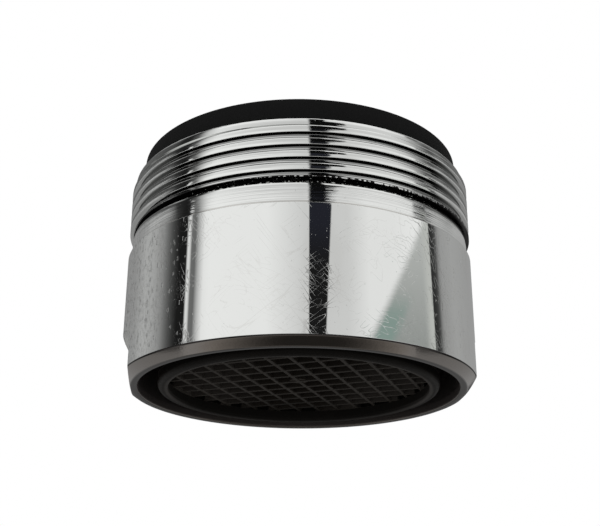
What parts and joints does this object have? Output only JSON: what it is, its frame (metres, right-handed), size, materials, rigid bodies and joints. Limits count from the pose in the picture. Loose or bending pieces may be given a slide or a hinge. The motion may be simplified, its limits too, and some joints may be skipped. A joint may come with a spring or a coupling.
{
  "type": "tap aerator",
  "caption": "Round chromed tap aerator with a male thread and rubber seal washer on top, and a moulded insert with a square outlet grid set in its open mouth.",
  "frame": {"origin": "on the axis, in the plane of the outlet lip that it stands on", "axes": "+Z along the axis from the outlet to the thread, wrench flats facing +X and -X"},
  "size_m": [0.0278, 0.0278, 0.019],
  "materials": {
    "chromed_brass": "polished chrome, turned lines on the collar and thread",
    "black_acetal": "moulded, slightly dull",
    "inner_acetal": "moulded, slightly dull",
    "strainer_plastic": "moulded mesh, dull",
    "black_rubber": "smooth pressed rubber"
  },
  "bodies": {
    "root": {"housing": "chromed_brass", "mixing_sleeve": "black_acetal", "outlet_grid": "black_acetal", "lower_mixing_grate": "inner_acetal", "upper_mixing_grate": "inner_acetal", "jet_plate": "inner_acetal", "strainer": "strainer_plastic", "seal_washer": "black_rubber"}
  },
  "joints": []
}
